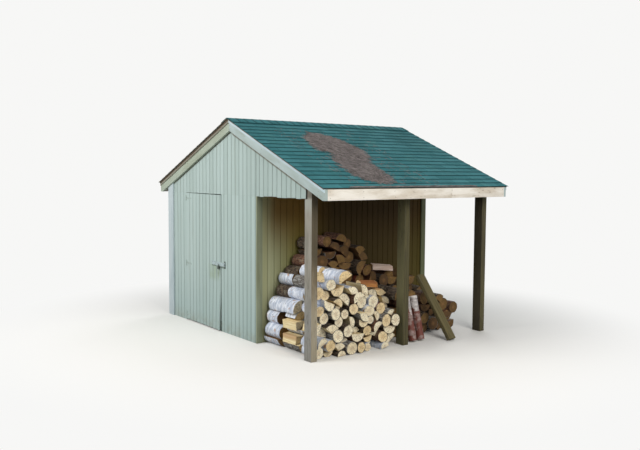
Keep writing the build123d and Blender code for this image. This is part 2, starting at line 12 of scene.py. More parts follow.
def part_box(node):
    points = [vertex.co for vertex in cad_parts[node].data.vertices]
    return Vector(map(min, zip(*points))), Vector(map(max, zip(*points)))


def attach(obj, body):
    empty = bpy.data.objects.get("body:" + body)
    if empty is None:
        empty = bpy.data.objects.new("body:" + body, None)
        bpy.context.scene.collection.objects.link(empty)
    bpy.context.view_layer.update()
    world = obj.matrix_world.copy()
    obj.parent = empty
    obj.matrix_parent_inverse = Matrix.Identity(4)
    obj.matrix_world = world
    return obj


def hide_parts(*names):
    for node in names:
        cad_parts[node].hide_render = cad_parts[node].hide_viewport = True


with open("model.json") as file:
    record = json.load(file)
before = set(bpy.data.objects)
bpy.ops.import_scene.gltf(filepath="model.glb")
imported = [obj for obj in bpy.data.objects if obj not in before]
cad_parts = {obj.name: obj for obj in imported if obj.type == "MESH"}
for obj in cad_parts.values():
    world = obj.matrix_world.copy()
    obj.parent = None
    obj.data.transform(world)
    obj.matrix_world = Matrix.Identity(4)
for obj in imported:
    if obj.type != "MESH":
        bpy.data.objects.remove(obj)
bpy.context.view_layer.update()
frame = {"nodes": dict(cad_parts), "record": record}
slots = {part["node"]: part["material_slot"] for part in frame["record"]["subparts"]}
slots.update(partition_trim="trim_paint", side_beam="bare_timber")  # these two look different from their CAD slots
door_nodes = frame["record"]["behaviour"]["bodies"]["door"]
scene = bpy.context.scene
SEED = 29
seed_set(SEED)  # without it noise_vector takes its offsets from the clock
chance = random.Random(SEED)
between = chance.uniform
draw = chance.random

SLOPE = 5 / 12
PLUMB = sqrt(1 + SLOPE**2)
BOARD_PITCH = 0.1016
FRONT_JOINT = -1.634
PARTITION_JOINT = -1.357
EXPOSURE = 0.127
SHINGLE_TAB = 0.305
DECK_BOARD = 0.14
FASCIA_JOINT = 0.502
BARGE_DEPTH = 0.14


def low(node):
    """Lowest corner of a CAD node."""
    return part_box(node)[0]


def high(node):
    """Highest corner of a CAD node."""
    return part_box(node)[1]


def srgb(code):
    """A colour from the hex number of how it looks on a screen."""
    return tuple((((c / 255 + 0.055) / 1.055) ** 2.4) for c in (code >> 16, code >> 8 & 255, code & 255)) + (1.0,)


# Finishes


class Tree:
    """The nodes of a material or of the world while they are being put together."""

    def __init__(self, owner):
        owner.use_nodes = True
        self.nodes = owner.node_tree.nodes
        self.links = owner.node_tree.links

    def feed(self, socket, value):
        """Links or sets an input; a whole number on a colour input is the hex number of a colour."""
        if isinstance(value, bpy.types.NodeSocket):
            self.links.new(value, socket)
        else:
            coded = socket.type == "RGBA" and isinstance(value, int)
            socket.default_value = srgb(value) if coded else value

    def add(self, kind, output, inputs, **settings):
        node = self.nodes.new("ShaderNode" + kind)
        for name, value in settings.items():
            setattr(node, name, value)
        for name, value in inputs.items():
            self.feed(node.inputs[name], value)
        return node.outputs[output]

    def place(self):
        return self.add("TexCoord", "Object", {})

    def vector(self, name):
        return self.add("Attribute", "Vector", {}, attribute_name=name)

    def value(self, name):
        return self.add("Attribute", "Fac", {}, attribute_name=name)

    def math(self, operation, a, b=0.0):
        return self.add("Math", "Value", {0: a, 1: b}, operation=operation)

    def times(self, a, b):
        return self.math("MULTIPLY", a, b)

    def plus(self, a, b):
        return self.math("ADD", a, b)

    def minus(self, a, b):
        return self.math("SUBTRACT", a, b)

    def absolute(self, value):
        return self.math("ABSOLUTE", value)

    def length(self, vector):
        return self.add("VectorMath", "Value", {0: vector}, operation="LENGTH")

    def combine(self, x, y, z=0.0):
        return self.add("CombineXYZ", "Vector", {"X": x, "Y": y, "Z": z})

    def stretch(self, vector, x, y, z):
        return self.add("VectorMath", "Vector", {0: vector, 1: (x, y, z)}, operation="MULTIPLY")

    def noise(self, vector, scale=1.0, detail=3.0, roughness=0.55):
        inputs = {"Vector": vector, "Scale": scale, "Detail": detail, "Roughness": roughness}
        return self.add("TexNoise", "Fac", inputs)

    def cells(self, vector, scale=1.0, feature="F1", output="Distance"):
        return self.add("TexVoronoi", output, {"Vector": vector, "Scale": scale}, feature=feature)

    def span(self, value, start, stop, low=0.0, high=1.0):
        inputs = {"Value": value, "From Min": start, "From Max": stop, "To Min": low, "To Max": high}
        return self.add("MapRange", "Result", inputs, interpolation_type="SMOOTHSTEP")

    def blend(self, factor, a, b):
        return self.add("Mix", 2, {0: factor, 6: a, 7: b}, data_type="RGBA")

    def axis(self, vector, name):
        return self.add("SeparateXYZ", name, {"Vector": vector})

    def strands(self, along, across, detail, roughness=0.55):
        """Noise drawn out along the grain."""
        return self.noise(self.stretch(self.vector("grain"), along, across, across), 1.0, detail, roughness)

    def rays(self, *kinds):
        """One for rays of any of these kinds, nothing for the others."""
        seen = 0.0
        for kind in kinds:
            seen = self.math("MAXIMUM", seen, self.add("LightPath", f"Is {kind} Ray", {}))
        return seen


class Finish(Tree):
    """A material, laid on as one tone over another."""

    def __init__(self, name, roughness, gloss=0.5):
        self.material = bpy.data.materials.new(name)
        super().__init__(self.material)
        self.shader = self.nodes["Principled BSDF"]
        self.feed(self.shader.inputs["Roughness"], roughness)
        self.feed(self.shader.inputs["Specular IOR Level"], gloss)

    def relief(self, height, distance, strength):
        inputs = {"Height": height, "Distance": distance, "Strength": strength}
        bump = self.add("Bump", "Normal", inputs)
        previous = self.shader.inputs["Normal"].links
        if previous:
            self.links.new(previous[0].from_socket, bump.node.inputs["Normal"])
        self.links.new(bump, self.shader.inputs["Normal"])

    def lay(self, tone, share):
        """Covers the colour so far with a tone, by a share."""
        self.base = self.blend(share, self.base, tone)

    def spread(self, tone, value, start, stop, most):
        """Covers the colour so far with a tone, from nothing where a value is at start to the most at stop."""
        self.lay(tone, self.span(value, start, stop, 0, most))

    def done(self):
        self.feed(self.shader.inputs["Base Color"], self.base)
        return self.material


def painted_boards(name, fresh, aged, seam, grime, streak=False, painted_shade=None, joint=0.95, under=0.0):
    """Weathered paint on boards: a tone for each board, dark seams, rain streaks and splashes near the ground; where
    asked for, also painted shade: a shadow band under the hasp, shade deep in the open bay, a shadow line under the
    bargeboard and a dark open end of the gable boards.
    """
    f = Finish(name, 0.62, 0.15 if painted_shade else 0.5)
    spot = f.place()
    z = f.axis(spot, "Z")
    fine = f.strands(6, 140, 4)
    broad = f.noise(f.stretch(spot, 0.9, 0.9, 0.45), detail=3)
    rain = f.strands(1.2, 26, 3)
    f.base = f.blend(f.value("tone"), fresh, aged)
    f.spread(aged, broad, 0.4, 0.75, 0.3)
    f.spread(grime, rain, 0.52, 0.8, 0.25)
    f.spread(seam, fine, 0.62, 0.8, 0.25)
    if not painted_shade:
        f.spread(0x88a2a2, z, 1.1, 0.0, 0.3)
    splash = f.times(f.span(z, 0.24, 0.0, 0, 0.45), f.span(f.noise(spot, 9, 4), 0.32, 0.7))
    f.lay(grime, splash)
    if streak:
        x = f.axis(spot, "X")
        runs = f.span(f.noise(f.stretch(spot, 42, 42, 3.0), detail=2), 0.3, 0.62)
        for middle, reach, foot, rise, head, share, stain in (
            (0.5, 0.19, 0.68, 0.09, 0.93, 0.45, 0x849668),
            (0.36, 0.08, 0.74, 0.09, 0.89, 0.6, 0x68765c),
            # dark green band just under the hasp: painted shadow of the hasp and padlock, with moss in it
            (0.3, 0.13, 0.89, 0.015, 0.935, 0.95, 0x3c4a36),
        ):
            side = f.span(f.absolute(f.plus(x, middle)), reach, reach * 0.55)
            drop = f.times(f.span(z, foot, foot + rise), f.span(z, head + 0.012, head - 0.012))
            patch = f.times(f.times(side, drop), f.math("MAXIMUM", runs, share - 0.4))
            f.lay(stain, f.times(patch, share))
    # painted shade of the open bay: olive-brown further in, red-brown high up under the roof, darkest at the back
    if painted_shade:
        y = f.axis(spot, "Y")
        f.spread(painted_shade[0], y, -1.4, -0.75, 0.95)
        f.lay(painted_shade[1], f.times(f.span(z, 1.0, 1.8, 0, 0.9), f.span(y, -1.45, -1.2, 0.2, 1.0)))
        back = f.times(f.span(y, -0.95, -0.2, 0, 0.92), f.span(y, 1.4, 0.8, 0.84, 1.0))
        f.lay(painted_shade[2], back)
    f.lay(seam, f.span(f.value("mark"), 0.05, 0.8, 0, joint))
    if under:
        x = f.axis(spot, "X")
        f.spread(0x94a4a0, x, 0.1, 0.8, 0.3)
        # the cut end of the gable boards by the post is painted near black: painted shade in the gap
        f.spread(0x26241e, x, GABLE_END - 0.005, GABLE_END - 0.002, 0.92)
        # a dark line on the boards along the foot of the bargeboard: painted shadow of the bargeboard, set a little
        # lower right of the ridge
        fall = f.times(f.absolute(x), SLOPE)
        hidden = f.span(x, -0.05, 0.05, 0.0, 0.026)
        edge = f.plus(f.plus(f.plus(z, fall), hidden), f.times(broad, 0.006))
        f.spread(0x5c5442, edge, under - 0.022, under - 0.006, 0.8)
    f.relief(fine, 0.0006, 0.6)
    f.relief(f.strands(1.5, 16, 2), 0.0015, 0.5)
    return f.done()


def painted_trim(name, fresh, aged, bare, worn, rear=None):
    """Paint on trim boards, thin along the grain where the wood shows through, with painted shade at the rear."""
    f = Finish(name, 0.6)
    fine = f.strands(5, 120, 4)
    broad = f.strands(1.6, 7, 4)
    f.base = f.blend(f.span(broad, 0.38, 0.66), fresh, aged)
    flakes = f.strands(9, 55, 5, 0.65)
    gone = f.times(f.span(flakes, 0.58, 0.66), f.span(broad, 0.62 - 0.2 * worn, 0.75))
    f.lay(bare, f.times(gone, worn))
    f.spread(bare, fine, 0.6, 0.8, 0.3)
    # painted shade towards the rear of the bay
    if rear:
        f.spread(rear, f.axis(f.place(), "Y"), 0.6, 1.1, 0.85)
    f.relief(f.minus(fine, f.times(gone, 0.8)), 0.0008, 0.6)
    return f.done()


def sawn_wood(name, light, dark, grey, weather, front_weather_and_shade=0.0, marks_and_painted_light=False):
    """Sawn timber: streaks along the grain, knots, drying cracks and grey weathering, more on the front; the tone on
    the front faces is dark painted shade on the rear post, and the front post has painted shade at its top and high on
    its sides, with painted sunlight low on its sides.
    """
    f = Finish(name, 0.78)
    grain = f.vector("grain")
    bend = f.strands(1.2, 5, 2)
    waves = f.plus(f.axis(grain, "Y"), f.times(bend, 0.05))
    fibres = f.combine(f.times(f.axis(grain, "X"), 1.4), f.times(waves, 75), f.times(f.axis(grain, "Z"), 75))
    streak = f.noise(fibres, detail=4)
    fine = f.strands(8, 260, 3)
    knots = f.cells(f.stretch(grain, 1.9, 9, 9))
    f.base = f.blend(f.span(streak, 0.3, 0.7), light, dark)
    f.lay(dark, f.times(f.value("tone"), 0.4))
    patch = f.strands(1.1, 6, 4)
    f.spread(grey, patch, 0.62 - 0.35 * weather, 0.8 - 0.25 * weather, 0.9)
    if front_weather_and_shade:
        facing = f.axis(f.add("TexCoord", "Normal", {}), "Y")
        if marks_and_painted_light:
            z = f.axis(f.place(), "Z")
            marks = f.strands(2.6, 24, 3)
            grey = f.blend(f.span(marks, 0.42, 0.7, 0, 0.55), grey, 0x6c6a60)
            grey = f.blend(f.span(z, 1.72, 1.88, 0, 0.6), grey, 0xa4aaa3)
            grey = f.blend(f.span(z, 1.0, 0.5, 0, 0.35), grey, 0x7a7e82)
            # near black at the very top of the front face: painted shadow under the end of the gable boards
            grey = f.blend(f.span(z, 1.92, 1.97, 0, 0.75), grey, 0x423a2e)
            # side faces: painted sunlight low down, painted shade higher up
            side = f.span(facing, -0.8, -0.3)
            f.lay(0xaca38e, f.times(side, f.span(z, 0.95, 0.5, 0, 0.7)))
            f.lay(0x423a28, f.times(side, f.span(z, 0.95, 1.3, 0, 0.85)))
        # front faces take the grey tone: weathering on the front post, painted shade on the dark rear post
        f.lay(grey, f.span(facing, -0.3, -0.8, 0, front_weather_and_shade))
    f.spread(dark, knots, 0.13, 0.05, 0.7)
    cracks = f.strands(1.7, 46, 2)
    line = f.span(f.absolute(f.minus(cracks, 0.5)), 0.018, 0.004)
    line = f.times(line, f.span(patch, 0.42, 0.6))
    f.lay(0x2e261e, f.times(line, 0.8))
    f.relief(f.minus(streak, line), 0.0018, 0.7)
    f.relief(fine, 0.0006, 0.6)
    return f.done()


def shingle_finish(name, base, light, dark, painted_shade, felt):
    """Asphalt shingles: mineral granules, a painted shadow line under every course, felt at the cut edges."""
    f = Finish(name, 0.95, 0.2)
    spot = f.place()
    up = f.axis(f.vector("grain"), "X")
    speck = f.axis(f.cells(spot, scale=420, output="Color"), "X")
    f.base = f.blend(f.value("tone"), base, light)
    f.spread(dark, f.noise(spot, 1.4, 4), 0.4, 0.7, 0.45)
    f.spread(0x548e8a, f.noise(spot, 3.1, 3), 0.5, 0.75, 0.35)
    f.spread(dark, speck, 0.0, 1.0, 0.35)
    f.spread(light, speck, 0.86, 1.0, 0.5)
    # painted shadow of the course above on each tab
    f.spread(painted_shade, up, EXPOSURE - 0.022, EXPOSURE - 0.006, 0.85)
    # darker lower edge: the dark butt edge, with painted shade
    f.spread(painted_shade, up, 0.007, 0.001, 0.7)
    edge = f.minus(f.value("mark"), f.times(f.noise(spot, 34, 3), 0.5))
    f.spread(0x585252, edge, 0.1, 0.6, 0.8)
    cut = f.absolute(f.axis(f.add("TexCoord", "Normal", {}), "Y"))
    f.spread(felt, cut, 0.6, 0.9, 0.8)
    f.relief(speck, 0.0011, 0.7)
    f.relief(f.noise(spot, 26, 3), 0.0014, 0.4)
    return f.done()


def litter_finish():
    """Fallen pine needles, brown and mauve."""
    f = Finish("pine_litter", 0.85)
    f.base = f.blend(f.value("tone"), 0x2c2828, 0x968e8c)
    f.spread(0x605857, f.noise(f.place(), 60, 3), 0.4, 0.7, 0.6)
    f.spread(0x403a38, f.noise(f.place(), 7, 3), 0.5, 0.72, 0.5)
    return f.done()


def end_grain(name, pale, tan, grey):
    """Sawn end of a log: rings about the heart, rays, drying cracks and saw marks."""
    f = Finish(name, 0.8)
    ring = f.vector("ring")
    tone = f.value("tone")
    spot = f.place()
    radius = f.length(ring)
    wobble = f.noise(f.stretch(ring, 22, 22, 22), detail=2)
    bent = f.plus(radius, f.times(wobble, 0.012))
    rings = f.math("SINE", f.times(bent, 1500))
    wide = f.noise(f.combine(f.times(bent, 130), tone), detail=3)
    f.base = f.blend(f.span(tone, 0.3, 1.0), pale, tan)
    f.spread(tan, wide, 0.35, 0.7, 0.4)
    f.spread(0x8c6238, rings, 0.1, 1.0, 0.25)
    heart = f.span(radius, 0.045, 0.012, 0, 0.35)
    f.lay(0xa07648, heart)
    angle = f.math("ARCTAN2", f.axis(ring, "Y"), f.axis(ring, "Z"))
    check = f.noise(f.combine(f.times(angle, 2.3), f.times(radius, 5), f.times(tone, 37)), 1.6, 2)
    line = f.span(f.absolute(f.minus(check, 0.5)), 0.022, 0.005)
    line = f.times(line, f.span(radius, 0.004, 0.02))
    f.lay(0x3e2c1c, f.times(line, 0.8))
    stain = f.noise(spot, 17, 4)
    f.spread(grey, stain, 0.52, 0.78, 0.4)
    f.spread(0x583e28, f.value("mark"), 0.55, 1.0, 0.6)
    saw = f.noise(f.stretch(spot, 30, 30, 300), detail=2)
    f.relief(f.minus(f.plus(saw, f.times(rings, 0.12)), line), 0.0014, 0.6)
    return f.done()


def split_wood(name, pale, tan, red):
    """Split face of a log: long torn fibres, tan and yellow with redder heartwood."""
    f = Finish(name, 0.75)
    tone = f.value("tone")
    fibre = f.strands(4, 90, 5, 0.65)
    broad = f.strands(1.5, 14, 3)
    f.base = f.blend(f.span(fibre, 0.3, 0.7), pale, tan)
    heart = f.span(f.length(f.vector("ring")), 0.075, 0.03)
    f.lay(red, f.times(heart, f.span(tone, 0.35, 0.9, 0, 0.8)))
    f.spread(tan, broad, 0.5, 0.72, 0.6)
    f.relief(fibre, 0.004, 0.8)
    return f.done()


def bark(name, ridge, furrow, lichen, scale=1.0, depth=0.005):
    """Rough bark with furrows along the log."""
    f = Finish(name, 0.92)
    grain = f.vector("grain")
    bend = f.strands(7, 7, 3)
    place = {0: f.stretch(grain, 9 * scale, 46 * scale, 46 * scale), 1: f.combine(bend, f.times(bend, 3.0))}
    plates = f.cells(f.add("VectorMath", "Vector", place, operation="ADD"), feature="DISTANCE_TO_EDGE")
    plate = f.span(plates, 0.02, 0.22)
    fine = f.strands(60, 160, 4)
    f.base = f.blend(plate, furrow, ridge)
    f.spread(furrow, fine, 0.4, 0.75, 0.5)
    f.spread(lichen, f.noise(grain, 16, 4), 0.54, 0.7, 0.75)
    f.lay(furrow, f.times(f.value("tone"), 0.45))
    f.relief(f.plus(plate, f.times(fine, 0.4)), depth, 0.8)
    return f.done()


def birch_bark(name, white, grey, peel, share):
    """Papery birch bark: pale, with dark dashes round the log and peeled rusty patches."""
    f = Finish(name, 0.6)
    dashes = f.strands(150, 16, 2)
    curl = f.strands(12, 9, 4, 0.6)
    f.base = f.blend(f.span(f.strands(30, 10, 3), 0.35, 0.65), white, grey)
    f.spread(0x484242, dashes, 0.62, 0.7, 0.85)
    torn = f.span(curl, 0.62 - 0.16 * share, 0.67 - 0.16 * share)
    f.lay(peel, torn)
    f.spread(0x60564e, f.strands(22, 22, 4), 0.62, 0.75, 0.6)
    f.relief(f.minus(f.times(f.span(dashes, 0.62, 0.7), 0.4), torn), 0.0016, 0.8)
    return f.done()


def iron(name, base, rust, amount, roughness=0.55, moss_and_shade_top=0.0):
    """Small ironwork: paint or dull metal with rust in patches, or dark green below a height: moss with painted shade.
    """
    f = Finish(name, roughness)
    spot = f.place()
    patch = f.noise(spot, 70, 5, 0.65)
    f.base = f.blend(f.span(patch, 0.66 - 0.3 * amount, 0.76 - 0.25 * amount), base, rust)
    # below the given height, dark green: moss with painted shade on the lower part
    if moss_and_shade_top:
        level = f.plus(f.axis(spot, "Z"), f.times(patch, 0.03))
        f.lay(0x4e5c42, f.span(level, moss_and_shade_top + 0.02, moss_and_shade_top))
    f.spread(0x383228, f.noise(spot, 260, 3), 0.5, 0.8, 0.4)
    f.relief(patch, 0.0007, 0.6)
    return f.done()


SIDING = painted_boards("siding_sage", 0xb3c5c2, 0xa7bab6, 0x545f58, 0x888b78)
BARGE_FOOT = high("front_gable").z - BARGE_DEPTH * PLUMB
GABLE_END = high("front_gable").x
GABLE_PAINT = painted_boards(
    "gable_sage", 0xb0c2bf, 0xa5b7b3, 0x62685c, 0x888b78, joint=0.75, under=BARGE_FOOT
)
DOOR_PAINT = painted_boards("door_sage", 0xb1c3c0, 0xa5b8b4, 0x545f58, 0x888b78, streak=True)
# The bay's olive paint is the sage siding paint with the bay's yellowish light and shade painted in; the three tones
# below it are deeper painted shade for further in, high up and at the back.
BAY_SHADE = (0x817930, 0x84622a, 0x38290f)
BAY_PAINT = painted_boards(
    "bay_olive", 0xb6bb98, 0xacae84, 0x40361c, 0x8a845c, painted_shade=BAY_SHADE, joint=0.35
)
CORNER = painted_trim("corner_white", 0xbac7cb, 0xaababf, 0x8c8e84, 0.35)
BARGE = painted_trim("barge_cream", 0xafbfbf, 0xa0afab, 0x807a68, 0.6)
BARGE_CREAM = painted_trim("barge_left", 0xabb7a9, 0x9ba593, 0x807660, 0.6)
STRIP = painted_trim("strip_grey", 0xc2d4db, 0xb2c3c8, 0x7c7666, 0.6)
WORN_STRIP = painted_trim("strip_worn", 0x848274, 0x726a5c, 0x704e3c, 0.9)
FASCIA = painted_trim("fascia_white", 0xf4efe6, 0xd6ccbc, 0x70543e, 0.95)
# Partition trim: the sage trim paint made darker and greener as painted shade of the bay
TRIM = painted_trim("partition_trim", 0x929a80, 0x82886c, 0x68644a, 0.5, rear=0x4e542e)
POST = sawn_wood("post_wood", 0x90846c, 0x645842, 0x98958c, 0.35, front_weather_and_shade=0.85, marks_and_painted_light=True)
# The middle and rear posts are the same wood as the front post, made darker and browner as painted shade, the rear
# post most
POST_BROWN = sawn_wood("post_brown", 0x5c5632, 0x36311a, 0x625f40, 0.3, front_weather_and_shade=0.7)
POST_DARK = sawn_wood("post_dark", 0x625c3a, 0x3c361e, 0x302b1c, 0.1, front_weather_and_shade=0.85)
# Framing and deck are dark brown: aged wood, with the shade under the roof painted in
TIMBER = sawn_wood("frame_wood", 0x806446, 0x543e28, 0x625646, 0.3)
DECK = sawn_wood("deck_wood", 0x6e543a, 0x463222, 0x54483a, 0.3)
PLANK = sawn_wood("plank_wood", 0x70673e, 0x483e20, 0x625e42, 0.5)
# Shingle tones: base, light, dark, and the painted shadow under each course
TEAL = (0x2f6e74, 0x428188, 0x1a5257, 0x122e32)
SHINGLES = shingle_finish("shingle_teal", *TEAL, 0x346062)
SHINGLES_LEFT = shingle_finish("shingle_teal_left", *TEAL, 0x927c68)
LITTER = litter_finish()
# Log ends and split faces of the near rows are near white, with sunlight painted in; the dark ones after them, for the
# rows by the wall and far behind, are painted shade, with some age
LOG_END = end_grain("log_end", 0xfef6da, 0xeed4a0, 0xb4a892)
LOG_END_AGED_SHADED = end_grain("log_end_aged_shaded", 0x7a5e2e, 0x503818, 0x3c301c)
LOG_SPLIT = split_wood("log_split", 0xf6e9c0, 0xd8be86, 0xaa7e54)
LOG_SPLIT_AGED_SHADED = split_wood("log_split_aged_shaded", 0x785a34, 0x503820, 0x562e1e)
LOG_AMBER = split_wood("log_amber", 0xce9450, 0xa06432, 0x844e2a)
LOG_PINK = split_wood("log_pink", 0xdecec2, 0xa48474, 0x8c6458)
BARK_BROWN = bark("bark_brown", 0x6c5c4a, 0x281d16, 0x7e7a68)
BARK_GREY = bark("bark_grey", 0xb0b0ac, 0x544e48, 0xc6caca, 0.8, 0.004)
BARK_RED = bark("bark_red", 0x805a44, 0x422a20, 0x867662, 1.3, 0.003)
BIRCH = birch_bark("birch_white", 0xe2e7f0, 0xb0bbce, 0xb2927c, 0.1)
BIRCH_GREY = birch_bark("birch_grey", 0xd4cfcc, 0x9e9796, 0x805246, 0.3)
BIRCH_RED = birch_bark("birch_red", 0x98827c, 0x6e524a, 0x683226, 0.95)
PAINTED_IRON = iron("hinge_paint", 0xa6b8b3, 0x6e4a32, 0.3)
# The hasp is dark green below its middle: moss with painted shade
HASP_PAINT = iron("hasp_paint", 0xaec0c3, 0x6c746a, 0.4, moss_and_shade_top=0.93)
DARK_IRON = iron("latch_iron", 0x38443c, 0x423e2e, 0.4, 0.6)
NAIL_RUST = iron("nail_rust", 0x5c4e42, 0x603e2a, 0.7)

BARKS = [BARK_BROWN, BARK_GREY, BARK_RED, BIRCH, BIRCH_RED]
LOGS = [LOG_SPLIT, LOG_END] + BARKS + [LOG_AMBER]
LEANING_LOGS = [BIRCH_GREY if finish == BIRCH else finish for finish in LOGS]
AGED_SHADED_LOGS = [LOG_SPLIT_AGED_SHADED, LOG_END_AGED_SHADED] + BARKS + [LOG_PINK]


# Mesh building


def placed(name, data):
    """A new object in the scene."""
    made = bpy.data.objects.new(name, data)
    scene.collection.objects.link(made)
    return made


def some_grain():
    """A random place in the grain, so that no two boards look alike."""
    return Vector((between(0, 9), between(0, 9), 0))


class Shape:
    """Faces of one piece, with a place in the grain, a tone and a mark for every point."""

    def __init__(self):
        self.points, self.faces, self.finishes = [], [], []
        self.grain, self.ring, self.tone, self.mark = [], [], [], []

    def put(self, point, grain, tone, mark=0.0, ring=(0, 0, 0)):
        self.points.append(tuple(point))
        self.grain.append(tuple(grain))
        self.tone.append(tone)
        self.mark.append(mark)
        self.ring.append(tuple(ring))
        return len(self.points) - 1

    def face(self, corners, finish=0):
        self.faces.append(tuple(corners))
        self.finishes.append(finish)

    def band(self, a, b, finish):
        """Joins two closed rows of points, with finish(i) for every face."""
        for i in range(len(a)):
            j = (i + 1) % len(a)
            self.face((a[i], a[j], b[j], b[i]), finish(i))

    def fan(self, row, core, finish):
        """Closes a row of points with faces that meet in one point."""
        for i in range(len(row)):
            self.face((row[i], row[(i + 1) % len(row)], core), finish)

    def loft(self, rings, grain, tone, marks=None, caps=True):
        """Adds a body through rings of points, with grain() giving each point's place in the grain."""
        mark = marks if callable(marks) else lambda p, i: marks[i] if marks else 0.0
        rows = [[self.put(p, grain(p), tone, mark(p, i)) for i, p in enumerate(ring)] for ring in rings]
        for a, b in zip(rows, rows[1:]):
            self.band(a, b, lambda i: 0)
        if caps:
            self.face(reversed(rows[0]))
            self.face(rows[-1])

    def piece(self, name, finishes, node=None, body="root", smooth=32):
        """Turns the shape into an object: it stands for a CAD node, or else it has a body of its own."""
        mesh = bpy.data.meshes.new(name)
        mesh.from_pydata(self.points, [], self.faces)
        for finish in finishes:
            mesh.materials.append(finish)
        mesh.polygons.foreach_set("material_index", self.finishes)
        for label in ("grain", "ring"):
            flat = [c for v in getattr(self, label) for c in v]
            mesh.attributes.new(label, "FLOAT_VECTOR", "POINT").data.foreach_set("vector", flat)
        for label in ("tone", "mark"):
            mesh.attributes.new(label, "FLOAT", "POINT").data.foreach_set("value", getattr(self, label))
        build = bmesh.new()
        build.from_mesh(mesh)
        bmesh.ops.recalc_face_normals(build, faces=build.faces)
        build.to_mesh(mesh)
        build.free()
        mesh.shade_smooth()
        mesh.set_sharp_from_angle(angle=radians(smooth))
        made = placed(name, mesh)
        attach(made, "door" if node in door_nodes else body)
        if node:
            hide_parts(node)


def bodies_of(node):
    """The separate solids of a CAD node, each as a mesh of its own with flat faces whole."""
    whole = bmesh.new()
    whole.from_mesh(frame["nodes"][node].data)
    bmesh.ops.remove_doubles(whole, verts=whole.verts, dist=2e-5)
    whole.faces.ensure_lookup_table()
    seen = set()
    found = []
    for first in whole.faces:
        if first.index in seen:
            continue
        seen.add(first.index)
        group = []
        waiting = [first]
        while waiting:
            face = waiting.pop()
            group.append(face)
            for edge in face.edges:
                for other in edge.link_faces:
                    if other.index not in seen:
                        seen.add(other.index)
                        waiting.append(other)
        corners = {v: None for f in group for v in f.verts}
        part = bmesh.new()
        for v in corners:
            corners[v] = part.verts.new(v.co)
        for f in group:
            part.faces.new([corners[v] for v in f.verts])
        part.normal_update()
        bmesh.ops.dissolve_limit(part, angle_limit=radians(1), verts=part.verts, edges=part.edges)
        part.normal_update()
        found.append(part)
    whole.free()
    return found


def axes_of(part):
    """Directions along, across and through a board: its longest edge, then the widest turn from it."""
    edges = sorted(part.edges, key=lambda e: -e.calc_length())
    along = (edges[0].verts[1].co - edges[0].verts[0].co).normalized()
    across = next(
        (d for e in edges for d in [(e.verts[1].co - e.verts[0].co).normalized()] if abs(d.dot(along)) < 0.2),
        along.orthogonal(),
    )
    across = (across - along * across.dot(along)).normalized()
    return along, across, along.cross(across)


def sawn_apart(parts, place):
    """Parts cut in two by a plane across Y, with a hairline gap between the halves."""
    found = []
    for part in parts:
        for side in (-1, 1):
            half = part.copy()
            whole = half.verts[:] + half.edges[:] + half.faces[:]
            at = Vector((0, place + side * 0.001, 0))
            bmesh.ops.bisect_plane(half, geom=whole, plane_co=at, plane_no=(0, -side, 0), clear_outer=True)
            bmesh.ops.holes_fill(half, edges=half.edges[:])
            half.normal_update()
            found.append(half)
        part.free()
    return found


def dressed(node, finish, ease, waver=0.0, step=0.25, joint=None, reach_y=9.0, left=None):
    """A CAD node with eased edges, a grain of its own on every board and a slight waver along it."""
    shape = Shape()
    parts = bodies_of(node)
    if joint is not None:
        parts = sawn_apart(parts, joint)
    for part in parts:
        along, across, through = axes_of(part)
        reach = [v.co.dot(along) for v in part.verts]
        if waver:
            for n in range(1, int((max(reach) - min(reach)) / step) + 1):
                at = along * (min(reach) + n * step)
                whole = part.verts[:] + part.edges[:] + part.faces[:]
                bmesh.ops.bisect_plane(part, geom=whole, plane_co=at, plane_no=along)
            for v in part.verts:
                v.co += noise_vector(v.co * 2.3 + Vector((7, 3, 1))) * waver
                v.co.z = max(v.co.z, 0.0)
        for v in part.verts:
            v.co.y = min(max(v.co.y, -reach_y), reach_y)
        part.normal_update()
        sharp = [e for e in part.edges if e.is_manifold and e.is_convex and e.calc_face_angle() > radians(35)]
        if ease and sharp:
            bmesh.ops.bevel(part, geom=sharp, offset=ease, segments=2, profile=0.6, affect="EDGES", clamp_overlap=True)
        shift = Vector((between(0, 9), between(0, 9), between(0, 9)))
        tone = draw()
        part.verts.index_update()
        start = len(shape.points)
        for v in part.verts:
            shape.put(v.co, Vector((v.co.dot(along), v.co.dot(across), v.co.dot(through))) + shift, tone)
        middle = sum((v.co.x for v in part.verts)) / len(part.verts)
        for f in part.faces:
            shape.face([start + v.index for v in f.verts], 1 if left and middle < 0 else 0)
        part.free()
    shape.piece(node + "_finish", [finish, left] if left else [finish], node)


# Siding


